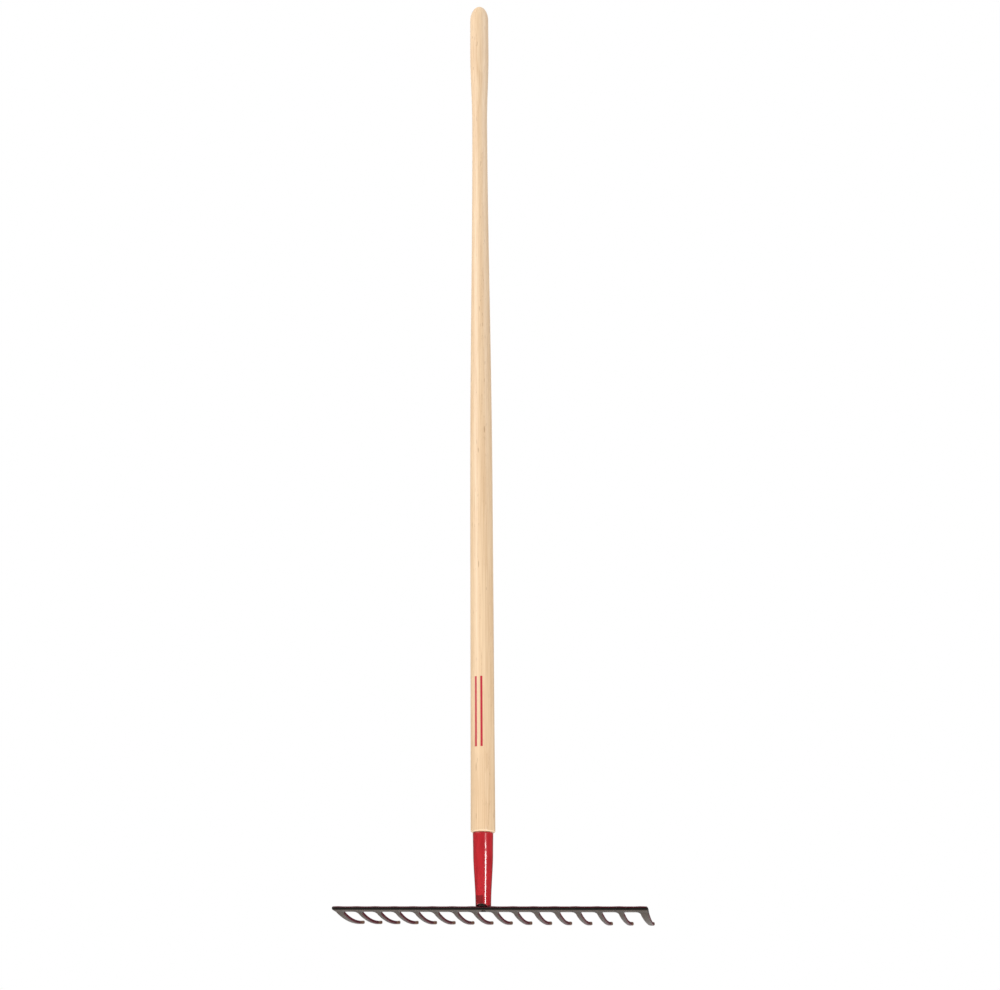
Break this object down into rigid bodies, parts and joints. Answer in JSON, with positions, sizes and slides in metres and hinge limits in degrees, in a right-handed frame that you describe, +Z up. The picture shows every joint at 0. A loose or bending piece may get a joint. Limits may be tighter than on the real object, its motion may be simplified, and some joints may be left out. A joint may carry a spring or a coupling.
{
  "type": "level-head rake",
  "caption": "Long-handled garden rake with a straight forged steel bar of curved teeth, a tapered red ferrule and a turned ash handle with a knob end.",
  "frame": {"origin": "centre of the flat back face of the head's bar", "axes": "+X along the bar, to the right as seen from behind; +Y the way the teeth point, away from the flat back face; +Z up the handle"},
  "size_m": [0.3964, 0.0997, 1.5382],
  "materials": {
    "ash_wood": "pale ash, turned, sanded and clear varnished",
    "red_enamel": "glossy red enamel on steel",
    "black_enamel": "semi-gloss umber-black enamel on forged steel",
    "tang_steel": "black oxide on steel"
  },
  "bodies": {
    "root": {"handle": "ash_wood", "ferrule": "red_enamel", "rake_head": "black_enamel", "tang": "tang_steel", "ferrule_pin": "tang_steel"}
  },
  "joints": []
}
